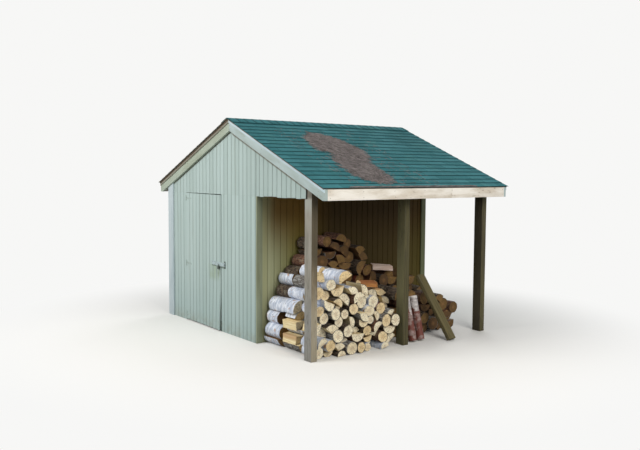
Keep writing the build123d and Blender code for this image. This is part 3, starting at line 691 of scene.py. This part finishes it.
def boarded(node, finish, upper, along=0, outward=-1, lower=None, cuts=(), warp=None, square=()):
    """Covers a wall with grooved boards between its own ends, from the floor or lower() to upper() along it."""
    lows, highs = low(node), high(node)
    start, stop = lows[along], highs[along]
    other = 1 - along
    face = highs[other] if outward > 0 else lows[other]
    depth = highs[other] - lows[other]
    joint = PARTITION_JOINT if along else FRONT_JOINT
    seams = [joint + k * BOARD_PITCH for k in range(-40, 60)]
    places = sorted({start, stop} | {s for s in seams if start + 0.012 < s < stop - 0.012} | set(cuts))
    shape = Shape()
    for a, b in zip(places, places[1:]):
        middle = (a + b) / 2
        gap, lip, dip = 0.0008, min(0.0058, (b - a) / 4), 0.0085
        lips = [0.0006 if any(abs(end - s) < 0.001 for s in square) else lip for end in (a, b)]
        dips = [dip * reach / lip for reach in lips]
        a, b = a + gap, b - gap
        outline = [(a, 0), (a, depth - dips[0]), (a + lips[0], depth), (middle, depth)]
        outline += [(b - lips[1], depth), (b, depth - dips[1]), (b, 0)]
        marks = [0.6, 1, 0, 0, 0, 1, 0.6]
        shift = some_grain()
        tone = draw()
        drop = between(-1, 1)
        foot = [lower(middle, drop) if lower else 0.0 for p, _ in outline]
        head = [upper(p, middle) for p, _ in outline]
        levels = max(2, int((max(head) - min(foot)) / (0.08 if warp else 0.22)))
        rings = []
        for n in range(levels + 1):
            ring = []
            for (p, d), z0, z1 in zip(outline, foot, head):
                z = z0 + (z1 - z0) * n / levels
                out = d - depth + noise((p * 3, z * 1.7, face)) * 0.0009 * (d > 0)
                point = Vector((0, 0, z))
                point[along] = p
                point[other] = face + outward * out
                if warp:
                    point += warp(point)
                ring.append(point)
            rings.append(ring)
        shape.loft(rings, lambda q: Vector((q.z, q[along], q[other])) + shift, tone, marks)
    shape.piece(node + "_boards", [finish], node, smooth=20)


lintel = high("front_wall_left").z
gable_peak = high("front_gable").z
shed_stop = high("front_wall_right").x
bay_end = -high("front_header").y
door_right = high("door_leaf").x
door_edges = (high("front_wall_left").x, low("door_leaf").x, door_right, low("front_wall_right").x)


def gable_top(p, middle=0):
    """Height of the gable siding under the roof."""
    return gable_peak - abs(p) * SLOPE


def ragged(middle, drop):
    """Lower edge of the gable boards: tight on the wall, uneven over the open bay."""
    return lintel + (0.0005 if middle < shed_stop else 0.002 + 0.007 * drop)


def partition_top(p, middle):
    """Top of the partition boards: under the headers at both ends, under the rafters between."""
    return lintel if abs(middle) > bay_end - 0.001 else high("partition_wall").z


def door_warp(point):
    """The leaf's free lower corner stands out from the wall, and its free edge swells above the latch."""
    across = max(0.0, (point.x + 0.95) / (door_right + 0.95))
    down = max(0.0, 1 - point.z / 0.57)
    swell = max(0.0, 1 - (door_right - point.x) / 0.03) * min(1.0, max(0.0, (point.z - 0.5) / 0.08))
    return Vector((0.0035 * swell, -0.022 * across**2 * down**0.75, 0))


for node in ("front_wall_left", "front_wall_right"):
    boarded(node, DOOR_PAINT, lambda p, m: lintel, square=door_edges)
boarded("front_gable", GABLE_PAINT, gable_top, lower=ragged, cuts=(shed_stop,))
boarded("rear_wall", SIDING, lambda p, m: lintel, outward=1)
boarded("rear_gable", GABLE_PAINT, gable_top, outward=1, lower=ragged, cuts=(shed_stop,))
boarded("left_wall", SIDING, lambda p, m: high("left_wall").z, along=1)
boarded("partition_wall", BAY_PAINT, partition_top, along=1, outward=1, cuts=(-bay_end, bay_end))
boarded(
    "door_leaf",
    DOOR_PAINT,
    lambda p, m: high("door_leaf").z - 0.006 * (p - low("door_leaf").x),
    lower=lambda m, d: low("door_leaf").z,
    warp=door_warp,
    square=door_edges,
)

# Boards, framing and ironwork that keep the CAD form
for nodes, finish, ease, waver in (
    ("corner_boards", CORNER, 0.002, 0.0006),
    ("partition_trim", TRIM, 0.002, 0.0006),
    ("front_post", POST, 0.004, 0.0015),
    ("middle_post", POST_BROWN, 0.004, 0.0015),
    ("rear_post", POST_DARK, 0.004, 0.0015),
    ("front_header rear_header side_beam", TIMBER, 0.003, 0.001),
    ("sole_plates top_plates wall_studs ridge_board rafters", TIMBER, 0.002, 0.0006),
):
    for node in nodes.split():
        dressed(node, finish, ease, waver)
for node in ("front_bargeboards", "rear_bargeboards"):
    dressed(node, BARGE, 0.003, 0.0012, left=BARGE_CREAM)
for node in ("left_fascia", "right_fascia"):
    dressed(node, FASCIA, 0.002, 0.001, joint=FASCIA_JOINT)
strip_face = high("rear_bargeboards").y + 0.011
for node in ("front_verge_strips", "rear_verge_strips"):
    dressed(node, STRIP, 0.002, 0.001, reach_y=strip_face, left=WORN_STRIP)
dressed("door_ledges", TIMBER, 0.002, 0.0006)
dressed("hinge_plates", PAINTED_IRON, 0.0006)
dressed("hinge_straps", PAINTED_IRON, 0.0006)
dressed("latch_staple", DARK_IRON, 0.0006)
dressed("latch_hasp", HASP_PAINT, 0.0006)
dressed("padlock", DARK_IRON, 0.0008)
dressed("leaning_plank", PLANK, 0.008, 0.005, 0.08)


# Roof covering


def roof_point(side, down, y, lift):
    """Point on a slope of the roof: distance down from the ridge, place along it and height over the deck."""
    ridge = high("roof_deck_right").z
    return Vector((side * (down + lift * SLOPE) / PLUMB, y, ridge - (down * SLOPE - lift) / PLUMB))


LITTER_EDGE = (
    (0.6, -0.69), (0.49, -0.54), (0.52, -0.4), (0.59, -0.31), (0.66, -0.24), (0.8, -0.17), (0.93, -0.13),
    (1.06, -0.09), (1.22, -0.13), (1.41, -0.23), (1.58, -0.33), (1.71, -0.32), (1.95, -0.35), (2.14, -0.39),
    (2.2, -0.56), (2.12, -0.77), (1.99, -0.86), (1.88, -0.88), (1.72, -0.86), (1.57, -0.83), (1.43, -0.8),
    (1.25, -0.69), (1.16, -0.72), (1.13, -0.81), (1.02, -0.83), (0.86, -0.8),
)


def litter_depth(down, y):
    """How far a place is inside the patch of fallen needles, in metres, ragged at the edge."""
    inside = False
    nearest = 9.0
    for (d0, y0), (d1, y1) in zip(LITTER_EDGE, LITTER_EDGE[1:] + LITTER_EDGE[:1]):
        if (d0 > down) != (d1 > down) and y < y0 + (y1 - y0) * (down - d0) / (d1 - d0):
            inside = not inside
        t = ((down - d0) * (d1 - d0) + (y - y0) * (y1 - y0)) / ((d1 - d0) ** 2 + (y1 - y0) ** 2)
        t = min(1.0, max(0.0, t))
        nearest = min(nearest, hypot(down - d0 - (d1 - d0) * t, y - y0 - (y1 - y0) * t))
    rough = 0.03 * noise((down * 5, y * 5, 3.0)) + 0.05 * noise((down * 17, y * 17, 8.0))
    return (nearest if inside else -nearest) + rough


def slope_of(node):
    """Front and rear ends of a slope of the roof, and its length from the ridge."""
    return low(node).y, high(node).y, max(abs(low(node).x), high(node).x) * PLUMB


def down_of(point):
    """Distance of a point on the roof from the ridge, down the slope."""
    return abs(point.x) * PLUMB


def sheathed(node, side):
    """Roof boards side by side along the roof, in place of the plain deck."""
    shape = Shape()
    front, rear, length = slope_of(node)
    thick = (high(node).z - high("ridge_board").z) / PLUMB
    start = 0.002
    while start < length - 0.01:
        stop = min(start + DECK_BOARD - 0.002, length)
        shift = some_grain()
        rings = []
        for n in range(9):
            y = front + (rear - front) * n / 8
            ring = []
            for d, h in ((start, -thick), (stop, -thick), (stop, -0.0004), (start, -0.0004)):
                ring.append(roof_point(side, d, y, h + 0.0008 * noise((d * 3, y * 2, h)) * (h < -0.001)))
            rings.append(ring)
        shape.loft(rings, lambda q: Vector((q.y, down_of(q), q.z)) + shift, draw())
        start += DECK_BOARD
    shape.piece(node + "_boards", [DECK], node, smooth=20)


def shingled(node, side):
    """One slope of shingles: courses of cut tabs over a plain under-sheet."""
    shape = Shape()
    front, rear, length = slope_of(node)
    length -= 0.002
    sheet = ((0.0, 0), (length - 0.01, 0), (length - 0.01, 0.0035), (0.0, 0.0035))
    under = [roof_point(side, d, front + 0.0015, h) for d, h in sheet]
    away = Vector((0, rear - front - 0.003, 0))
    shape.loft([under, [p + away for p in under]], lambda q: Vector((EXPOSURE / 2, q.y, 0)), 0.0)
    course = 0
    butt = length
    while butt > 0.03:
        head = max(butt - EXPOSURE - 0.022, 0.0)
        edge = front - SHINGLE_TAB * ((course % 2) * 0.5 + between(0, 0.04))
        while edge < rear:
            a, b = max(edge, front), min(edge + SHINGLE_TAB - 0.005, rear)
            edge += SHINGLE_TAB
            if b - a < 0.02:
                continue
            tone = draw() ** 1.5
            slip = between(-0.002, 0.002)
            rings = []
            for n in range(5):
                y = a + (b - a) * n / 4
                low_edge = min(butt + slip + noise((y * 9, butt * 5, side)) * 0.0015, length)
                top = 0.0095 + noise((y * 6, butt * 3, 5)) * 0.0008
                section = ((head, 0.0), (low_edge, 0.0045), (low_edge, top), (head, 0.004))
                rings.append([roof_point(side, d, y, h) for d, h in section])
            shape.loft(
                rings,
                lambda q: Vector((butt - down_of(q), q.y, 0)),
                tone,
                lambda q, i: max(0.0, 0.45 + litter_depth(down_of(q), q.y) * 4) if side > 0 else 0.0,
            )
        butt -= EXPOSURE
        course += 1
    shape.piece(node + "_tabs", [SHINGLES if side > 0 else SHINGLES_LEFT], node)


def ridge_capped():
    """Cap shingles lapped along the ridge."""
    shape = Shape()
    front, rear = low("ridge_cap").y, high("ridge_cap").y
    half = high("ridge_cap").x * PLUMB
    y = front
    while y < rear - 0.02:
        stop = min(y + EXPOSURE + 0.06, rear)
        tone = draw() ** 1.5
        slip = between(-0.003, 0.003)
        rings = []
        for place, lift in ((y, 0.0125), (stop, 0.0095)):
            right = [(0.018, 0.0), (half * 0.5, 0.001), (half, 0.0)]
            across = [(-d, h) for d, h in right[::-1]] + [(0.0, -0.004)] + right
            outer, inner = [], []
            for d, h in across:
                down = abs(d) + slip * (abs(d) > 0.1)
                outer.append(roof_point(1 if d >= 0 else -1, down, place, lift + h + 0.004))
                inner.append(roof_point(1 if d >= 0 else -1, down, place, lift + h))
            rings.append(outer + inner[::-1])
        shape.loft(rings, lambda q: Vector((q.y - y, q.x, 0)), tone)
        y += EXPOSURE
    shape.piece("ridge_cap_shingles", [SHINGLES], "ridge_cap")


# Needles in all, and those of them in the patch; the rest hang over the eave
NEEDLES, PATCH_NEEDLES = 11500, 10300


def needles():
    """Pine needles lying on the right slope in a ragged patch, with a few strays by the eave."""
    shape = Shape()
    front, rear = low("shingles_right").y + 0.06, high("shingles_right").y - 0.06
    length = high("shingles_right").x * PLUMB - 0.05
    laid = 0
    while laid < NEEDLES:
        down, y = between(0.3, length), between(-1.15, 0.35)
        depth = litter_depth(down, y)
        if laid >= PATCH_NEEDLES:
            down, y, depth = length + between(0.012, 0.04), between(-1.2, 0.95), 0.02
        elif depth < between(-0.06, 0.05) and draw() > 0.008 * (0.3 + down):
            continue
        y = min(max(y, front), rear)
        laid += 1
        turn = between(0, pi) if laid < PATCH_NEEDLES else between(1.2, 1.9)
        reach = between(0.02, 0.045)
        lift = 0.0095 + between(0, 0.006) * max(0.3, min(1.0, depth * 8))
        thick = between(0.0009, 0.0018)
        along = (cos(turn) * reach, sin(turn) * reach)
        side = (-sin(turn) * thick, cos(turn) * thick)
        rings = []
        for t in (-1, 1):
            tilt = lift + t * between(-0.002, 0.002)
            middle = (down + along[0] * t, y + along[1] * t)
            ring = [roof_point(1, middle[0] + side[0] * k, middle[1] + side[1] * k, tilt) for k in (1, -1)]
            rings.append(ring + [roof_point(1, *middle, tilt + thick * 1.4)])
        shape.loft(rings, lambda q: q, draw(), caps=False)
    shape.piece("pine_litter", [LITTER])


for cover, nodes in ((sheathed, "roof_deck_"), (shingled, "shingles_")):
    cover(nodes + "left", -1)
    cover(nodes + "right", 1)
ridge_capped()
needles()


# Firewood


def log_outline(corners):
    """Fine outline of a log from the CAD section: (place, on bark?, heart)."""
    count = len(corners)
    sides = [(corners[(i + 1) % count] - corners[i]).length for i in range(count)]
    if count == 4:
        i = sides.index(max(sides))
        flats = set(range(4)) - {i}
        heart = (corners[i - 1] + corners[i - 2]) / 2
    elif count == 5:
        i = sides.index(max(sides))
        flats = {i}
        heart = (corners[i] + corners[(i + 1) % count]) / 2
    elif count == 6:
        i = max(range(count), key=lambda n: sides[n] + sides[n - 1])
        flats = {i, (i - 1) % count}
        heart = corners[i]
    else:
        flats = set()
        heart = sum(corners, Vector((0, 0))) / count
    outline = []
    for i in range(count):
        a, b = corners[i], corners[(i + 1) % count]
        steps = 5 if i in flats else max(2, round(sides[i] / 0.022))
        for n in range(steps):
            t = n / steps
            p = a + (b - a) * t
            if i not in flats:
                ra, rb = (a - heart).length, (b - heart).length
                swell = ((ra + (rb - ra) * t) - (p - heart).length) * 0.6
                p = p + (p - heart).normalized() * swell
            outline.append((p, i not in flats))
    return outline, heart


def log(shape, corners, start, stop, barks, axes):
    """One log along the first of its axes: barked where round, torn where split, sawn across at both ends."""
    outline, heart = log_outline(corners)
    tone = draw()
    shift = Vector((between(0, 50), 0, 0))
    skin = chance.choices([2, 3, 4, 5, 6], barks)[0]
    centre = sum((p for p, _ in outline), Vector((0, 0))) / len(outline)
    yaw, nod = between(-0.06, 0.06), between(-0.035, 0.035)
    start += between(0.0, 0.02)
    stop -= between(0.0, 0.085) + 0.09 * (draw() < 0.2)
    torn = LOGS.index(LOG_AMBER) if len(corners) == 4 else 0
    middle = (start + stop) / 2
    seed = between(0, 100)
    count = len(outline)
    knob = draw() < 0.25
    knob_at = (between(start + 0.08, stop - 0.08), chance.randrange(count))

    def spot(x, p, tilt):
        flat = p - centre
        x += flat[0] * tilt[0] + flat[1] * tilt[1]
        place = axes @ Vector((x, p[0] + (x - middle) * yaw, p[1] + (x - middle) * nod))
        place.z = max(place.z, 0.0005)
        return place

    def about(p):
        return 0, p[0] - heart[0], p[1] - heart[1]

    segments = 8
    skew = 0.32 if draw() < 0.25 else 0.12
    tilts = [(between(-skew, skew), between(-skew, skew)) for _ in range(2)]
    rows = []
    for s in range(segments + 1):
        t = s / segments
        x = start + (stop - start) * t
        tilt = tilts[0] if s == 0 else tilts[1] if s == segments else (0, 0)
        row = []
        for i, (p, barked) in enumerate(outline):
            away = (p - heart).normalized() if barked else (p - centre).normalized()
            if barked:
                push = noise((x * 7 + seed, p[0] * 16, p[1] * 16)) * 0.005 - 0.0015
                push += noise((x * 30 + seed, p[0] * 60, p[1] * 60)) * 0.0018
                if knob:
                    gap = hypot(x - knob_at[0], 0.02 * min(abs(i - knob_at[1]), count - abs(i - knob_at[1])))
                    push += 0.012 * max(0.0, 1 - gap / 0.045)
            else:
                push = noise((x * 3 + seed, p[0] * 50, p[1] * 50)) * 0.006 - 0.003
            q = p + away * push
            ring = about(q)
            row.append(shape.put(spot(x, q, tilt), Vector(ring) + Vector((x, 0, 0)) + shift, tone, 0.0, ring))
        rows.append(row)
    for a, b in zip(rows, rows[1:]):
        shape.band(a, b, lambda i: skin if outline[i][1] else torn)
    rind = between(0.004, 0.007) if skin < 5 else 0.002
    for row, x, tilt, inward in ((rows[0], start, tilts[0], 1), (rows[-1], stop, tilts[1], -1)):
        inner, mids = [], []
        for p, barked in outline:
            q = p + (heart - p).normalized() * (rind if barked else 0.0004)
            m = p + (centre - p) * 0.5
            dip = noise((p[0] * 30, p[1] * 30, seed)) * 0.0012
            edge = spot(x + inward * (0.0005 + 0.001 * barked), q, tilt)
            inner.append(shape.put(edge, shift, tone, 0.8 if barked else 0.2, about(q)))
            mids.append(shape.put(spot(x + dip, m, tilt), shift, tone, 0.0, about(m)))
        core = shape.put(spot(x, centre, tilt), shift, tone, 0.0, about(centre))
        shape.band(row, inner, lambda i: skin if outline[i][1] else 1)
        shape.band(inner, mids, lambda i: 1)
        shape.fan(mids, core, 1)


# Shares of the brown, grey, red, birch and peeled birch barks
BIRCHES = (0.3, 0.9, 0.05, 6, 0.05)
MIXED = (3, 2.2, 1.2, 1.4, 0.3)
NEWER = (2, 3, 0.1, 1.5, 0.1)
# Darker barks for the rows in shade: painted shade, with some age
AGED_SHADED_BARKS = (4, 1, 2, 0.05, 0.25)


def barks_at(node, y, z):
    """Barks of a log: birch where the near pile shows its sloping front, dark by the wall and far behind: painted
    shade, with some age.
    """
    in_front = y < -1.2 + 0.54 * max(0.0, z - 0.7)
    if "far" in node or node == "wood_wall_row" and not in_front:
        return AGED_SHADED_BARKS
    if node == "wood_wall_row" and z >= 0.95:
        return NEWER
    return BIRCHES if in_front else MIXED


def log_row(node, finishes):
    """Firewood in place of a CAD row: every solid of the row becomes a real log."""
    shape = Shape()
    for part in bodies_of(node):
        along = Vector((1, 0, 0))
        if not any(abs(f.normal.x) > 0.99 for f in part.faces):
            along = max((f.normal for f in part.faces), key=lambda n: n.y).copy()
        across = Vector((0, 0, 1)).cross(along).normalized()
        axes = Matrix((along, across, along.cross(across))).transposed()
        ends = sorted((f for f in part.faces if abs(f.normal.dot(along)) > 0.99), key=lambda f: f.normal.dot(along))
        spots = [[axes.transposed() @ v.co for v in f.verts] for f in (ends[0], ends[-1])]
        corners = [p.yz for p in spots[1]]
        middle = sum(corners, Vector((0, 0))) / len(corners)
        log(shape, corners, spots[0][0].x, spots[1][0].x, barks_at(node, *middle), axes)
        part.free()
    shape.piece(node + "_logs", finishes, node, smooth=38)


log_row("wood_wall_row", AGED_SHADED_LOGS)
log_row("wood_middle_row", LOGS)
log_row("wood_outer_row", LOGS)
log_row("wood_far_wall_row", AGED_SHADED_LOGS)
log_row("wood_far_row", AGED_SHADED_LOGS)


SIDES = 26


def leaning_logs():
    """The two birch logs that lean on the far rows, peeled and red near the foot."""
    shape = Shape()
    for part in bodies_of("leaning_birch"):
        along, across, through = axes_of(part)
        if along.z < 0:
            along = -along
        spots = [v.co for v in part.verts]
        middle = sum(spots, Vector()) / len(spots)
        reach = max((p - middle).dot(along) for p in spots)
        radius = max(((p - middle) - along * (p - middle).dot(along)).length for p in spots) * 0.97
        tone = between(0.2, 0.6)
        seed = between(0, 90)
        shift = Vector((between(0, 50), 0, 0))
        rows = []
        for s in range(15):
            t = s / 14 * 2 - 1
            row = []
            for i in range(SIDES):
                turn = i * tau / SIDES
                out = across * cos(turn) + through * sin(turn)
                wide = radius * (1 + 0.09 * noise(out * 1.5 + Vector((t * 2, seed, 0)))) - 0.002
                wide = min(wide, radius * 1.03)
                local = Vector((t * reach, cos(turn) * wide, sin(turn) * wide))
                place = middle + along * local.x + out * wide
                place.z = max(place.z, 0.0005)
                row.append(shape.put(place, local + shift, tone, 0.0, (0, local.y, local.z)))
            rows.append(row)
        for s, (a, b) in enumerate(zip(rows, rows[1:])):
            shape.band(a, b, lambda i: 6 if s < 9 + 2 * noise((i * 0.4, seed, 0)) else 5)
        for row, t in ((rows[0], -1), (rows[-1], 1)):
            core = shape.put(middle + along * reach * t, shift, tone)
            inner = []
            for n in row:
                p = Vector(shape.points[n])
                q = p + (Vector(shape.points[core]) - p) * 0.06
                inner.append(shape.put(q, shift, tone, 0.8, Vector(shape.ring[n]) * 0.94))
            shape.band(row, inner, lambda i: 5)
            shape.fan(inner, core, 1)
        part.free()
    shape.piece("leaning_birch_logs", LEANING_LOGS, "leaning_birch", smooth=38)


leaning_logs()


# Fastenings


def heads(name, places, radius, finish, body="root", out=(0, -1, 0)):
    """Round heads of nails or screws, domed, facing out."""
    shape = Shape()
    out = Vector(out)
    across = out.orthogonal().normalized()
    through = out.cross(across)
    for place in places:
        rings = []
        for width, lift in ((1.0, -0.001), (1.0, 0.00048), (0.6, 0.0012)):
            rim = [across * cos(i * tau / 8) + through * sin(i * tau / 8) for i in range(8)]
            rings.append([Vector(place) + p * radius * width + out * lift for p in rim])
        shape.loft(rings, lambda q: q, draw())
    shape.piece(name, [finish], body=body)


def nail_lines(node, heights):
    """Nail places on every board of a front wall."""
    lows, highs = low(node), high(node)
    found = []
    k = 0
    while FRONT_JOINT + k * BOARD_PITCH < highs.x - 0.06:
        x = FRONT_JOINT + (k + 0.5) * BOARD_PITCH
        if lows.x + 0.02 < x < highs.x - 0.02:
            for z in heights:
                if lows.z < z < highs.z:
                    found.append((x + between(-0.012, 0.012), lows.y, z + between(-0.004, 0.004)))
        k += 1
    return found


def screws(name, node, wall, heights, holes, radius=0.0035, body="door"):
    """Screw heads on ironwork on a wall: holes are measured from its left end and from each height."""
    face = low(wall).y - 0.003
    heads(name, [(low(node).x + d, face, z + s) for z in heights for d, s in holes], radius, DARK_IRON, body=body)


WALL_ROWS = (0.06, 0.68, 1.3, 1.9)
wall_nails = nail_lines("front_wall_left", WALL_ROWS) + nail_lines("front_wall_right", WALL_ROWS)
gable_nails = [(x, y, z) for x, y, z in nail_lines("front_gable", (2.0, 2.4)) if z < gable_top(x) - 0.16]
heads("siding_nails", wall_nails + gable_nails, 0.003, PAINTED_IRON)
door_nails = [(x, y + door_warp(Vector((x, y, z))).y, z) for x, y, z in nail_lines("door_leaf", (0.12, 0.86, 1.83))]
heads("door_nails", door_nails, 0.003, PAINTED_IRON, "door")

hinge_heights = [sum(z) / len(z) for z in [[v.co.z for v in part.verts] for part in bodies_of("hinge_straps")]]
hasp_height = (low("latch_hasp").z + high("latch_hasp").z) / 2
hasp_holes = [(d, s) for d in (0.018, 0.078) for s in (-0.022, 0.022)]
plate_holes = [(0.012, s) for s in (-0.032, 0.0, 0.032)]
screws("strap_screws", "hinge_straps", "door_leaf", hinge_heights, ((0.03, 0.006), (0.07, -0.005), (0.12, 0.0)))
screws("hasp_screws", "latch_hasp", "door_leaf", [hasp_height], hasp_holes, 0.005)
screws("plate_screws", "hinge_plates", "front_wall_left", hinge_heights, plate_holes, body="root")

fascia_nails = []
for rafter in sorted({round(sum(v.co.y for v in part.verts) / len(part.verts), 3) for part in bodies_of("rafters")}):
    for z in (low("right_fascia").z + 0.03, high("right_fascia").z - 0.03):
        fascia_nails.append((high("right_fascia").x, rafter + between(-0.006, 0.006), z))
heads("fascia_nails", fascia_nails, 0.004, NAIL_RUST, out=(1, 0, 0))
barge_nails = []
for number in range(-5, 6):
    for drop in (0.07, 0.125):
        x = number * 0.4 + between(-0.02, 0.02)
        barge_nails.append((x, low("front_bargeboards").y, gable_top(x) - drop * PLUMB))
heads("barge_nails", barge_nails, 0.004, NAIL_RUST)


# Floor, light and camera

floor_mesh = bpy.data.meshes.new("floor")
floor_mesh.from_pydata([(x, y, -0.001) for x, y in ((-40, -40), (40, -40), (40, 40), (-40, 40))], [], [(0, 1, 2, 3)])
BACKDROP = (0.93, 0.93, 0.92, 1.0)
ground = Finish("floor_pale", 1.0, 0.0)
seen = ground.rays("Camera", "Glossy", "Transmission")
fade = ground.times(ground.span(ground.length(ground.place()), 2.4, 5.2), seen)
ground.feed(ground.shader.inputs["Emission Color"], BACKDROP)
ground.feed(ground.shader.inputs["Emission Strength"], fade)
ground.base = ground.blend(seen, 0x969592, 0xeeedea)
ground.lay((0.0, 0.0, 0.0, 1.0), fade)
floor_mesh.materials.append(ground.done())
placed("floor", floor_mesh)

world = bpy.data.worlds.new("studio")
scene.world = world
studio = Tree(world)
sky = studio.nodes["Background"]
studio.feed(sky.inputs["Color"], (0.94, 0.97, 1.0, 1.0))
studio.feed(sky.inputs["Strength"], 0.36)
shown = studio.add("Background", 0, {"Color": BACKDROP, "Strength": 1.0})
choice = studio.add("MixShader", 0, {0: studio.rays("Camera", "Glossy"), 1: sky.outputs[0], 2: shown})
studio.feed(studio.nodes["World Output"].inputs["Surface"], choice)


def lamp(name, place, target, size, power, colour):
    """A soft square lamp aimed at a point."""
    light = bpy.data.lights.new(name, "AREA")
    light.size = size
    light.energy = power
    light.color = colour
    made = placed(name, light)
    made.location = place
    made.rotation_euler = (Vector(target) - Vector(place)).to_track_quat("-Z", "Y").to_euler()


lamp("key", (-1.2, -10.5, 7.0), (-0.3, -1.0, 1.2), 5.0, 915, (1.0, 0.98, 0.95))
lamp("side", (9.5, -1.5, 5.5), (1.2, 0.2, 0.9), 5.0, 540, (1.0, 0.97, 0.92))
lamp("back", (-5.0, 8.0, 6.0), (0, 0, 1.5), 6.0, 350, (0.95, 0.98, 1.0))

# The camera of the photo, from the fit
SENSOR, FOCAL_PIXELS, PHOTO_WIDTH = 36, 740.9, 640
YAW, PITCH, ROLL = 0.9229, 0.0725, 0.0063
turn = Matrix.Rotation
camera = placed("camera", bpy.data.cameras.new("camera"))
camera.data.sensor_width = SENSOR
camera.data.lens = SENSOR * FOCAL_PIXELS / PHOTO_WIDTH
turned = turn(YAW, 4, "Z") @ turn(pi / 2 - PITCH, 4, "X") @ turn(ROLL, 4, "Z")
camera.matrix_world = Matrix.Translation((8.7875, -6.6758, 2.2654)) @ turned
scene.camera = camera
scene.view_settings.view_transform = "Standard"
